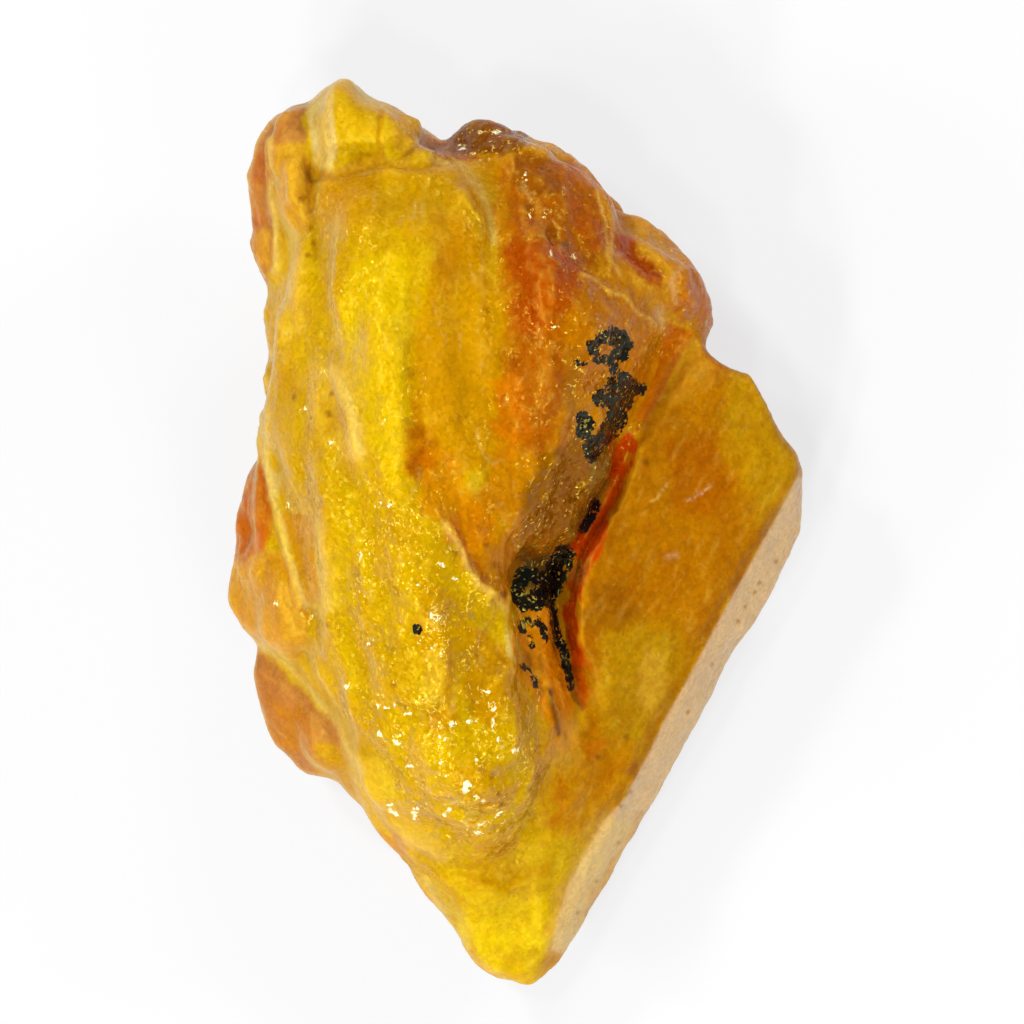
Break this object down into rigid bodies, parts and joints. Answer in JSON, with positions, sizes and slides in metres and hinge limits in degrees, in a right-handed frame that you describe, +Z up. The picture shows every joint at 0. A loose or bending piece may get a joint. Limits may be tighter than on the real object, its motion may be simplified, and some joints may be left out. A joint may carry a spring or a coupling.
{
  "type": "rough sapphire",
  "caption": "Broken lump of rough yellow sapphire with a long ridge, a dome above a deep cleft and a low flat shelf, lying on its flat parting face.",
  "frame": {"origin": "centre of the bounding box, at the height of the flat face the stone rests on", "axes": "+Y along the stone's length towards its broad knobbed end, +X towards the low shelf, +Z up from the flat parting face"},
  "size_m": [0.024, 0.0378, 0.0162],
  "materials": {
    "sapphire": "waxy broken surface, cloudy and see-through at thin edges"
  },
  "bodies": {
    "root": {"sapphire": "sapphire"}
  },
  "joints": []
}
